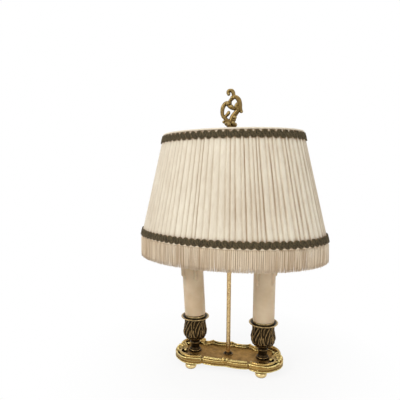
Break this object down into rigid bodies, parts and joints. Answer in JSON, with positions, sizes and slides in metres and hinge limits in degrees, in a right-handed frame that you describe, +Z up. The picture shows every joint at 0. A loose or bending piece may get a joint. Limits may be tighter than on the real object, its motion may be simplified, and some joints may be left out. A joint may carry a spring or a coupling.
{
  "type": "bouillotte lamp",
  "caption": "Two-light bouillotte table lamp with a rocaille brass tray base, candle tubes, and an oval pleated shade with braid and fringe on a central stem.",
  "frame": {"origin": "on the table under the centre of the stem, at the bottom of the four feet", "axes": "+Z up along the stem, +X along the tray towards the right candle, -Y towards the viewer"},
  "size_m": [0.2592, 0.1889, 0.38],
  "materials": {
    "cast_brass": "gilt casting, dull in the hollows",
    "dark_brass": "dark antique patina, rubbed edges",
    "stem_brass": "turned, lacquered",
    "plated_steel": "zinc plated",
    "cover_steel": "matt dark lacquer",
    "bush_plastic": "moulded",
    "frame_wire": "cream lacquer",
    "lining_fabric": "smooth cream cloth",
    "pleated_fabric": "pleated cream silk",
    "gimp_braid": "woven braid, dull olive bronze",
    "fringe_yarn": "fine hanging yarn, beige",
    "holder_plastic": "moulded thermoplastic",
    "candle_tube": "waxed card tube, aged ivory",
    "bulb_glass": "clear",
    "filament": "drawn wire on a glass stem",
    "lead_sleeve": "insulated"
  },
  "bodies": {
    "stand": {"base_plate": "cast_brass", "bottom_cover": "cover_steel", "cord_bush": "bush_plastic", "stem_rod": "stem_brass", "stem_collar": "dark_brass", "stem_washer": "plated_steel", "stem_nut": "plated_steel", "shade_rest": "stem_brass", "foot_front_left": "cast_brass", "foot_front_right": "cast_brass", "foot_rear_left": "cast_brass", "foot_rear_right": "cast_brass", "cup_left": "dark_brass", "nipple_left": "plated_steel", "nipple_nut_left": "plated_steel", "bobeche_left": "dark_brass", "holder_stem_left": "plated_steel", "lampholder_left": "holder_plastic", "contact_left": "stem_brass", "candle_left": "candle_tube", "lead_left": "lead_sleeve", "cup_right": "dark_brass", "nipple_right": "plated_steel", "nipple_nut_right": "plated_steel", "bobeche_right": "dark_brass", "holder_stem_right": "plated_steel", "lampholder_right": "holder_plastic", "contact_right": "stem_brass", "candle_right": "candle_tube", "lead_right": "lead_sleeve"},
    "shade": {"shade_spider": "frame_wire", "shade_ring_upper": "frame_wire", "shade_ring_lower": "frame_wire", "shade_rib_1": "frame_wire", "shade_rib_2": "frame_wire", "shade_rib_3": "frame_wire", "shade_rib_4": "frame_wire", "shade_rib_5": "frame_wire", "shade_rib_6": "frame_wire", "shade_rib_7": "frame_wire", "shade_rib_8": "frame_wire", "shade_lining": "lining_fabric", "shade_cover": "pleated_fabric", "top_gimp": "gimp_braid", "bottom_gimp": "gimp_braid", "fringe": "fringe_yarn"},
    "finial": {"finial": "cast_brass"},
    "bulb_left": {"bulb_cap_left": "plated_steel", "bulb_glass_left": "bulb_glass", "filament_left": "filament"},
    "bulb_right": {"bulb_cap_right": "plated_steel", "bulb_glass_right": "bulb_glass", "filament_right": "filament"}
  },
  "joints": [
    {"name": "shade_swivel", "type": "hinge", "parent": "stand", "child": "shade", "pos_m": [0, 0, 0.3187], "axis": [0, 0, 1], "continuous": true},
    {"name": "finial_turn", "type": "hinge", "parent": "stand", "child": "finial", "pos_m": [0, 0, 0.33], "axis": [0, 0, 1], "continuous": true},
    {"name": "bulb_left_turn", "type": "hinge", "parent": "stand", "child": "bulb_left", "pos_m": [-0.0489, 0, 0.07129], "axis": [-0.0523, 0, 0.9986], "continuous": true},
    {"name": "bulb_right_turn", "type": "hinge", "parent": "stand", "child": "bulb_right", "pos_m": [0.0489, 0, 0.0705], "axis": [0, 0, 1], "continuous": true}
  ]
}
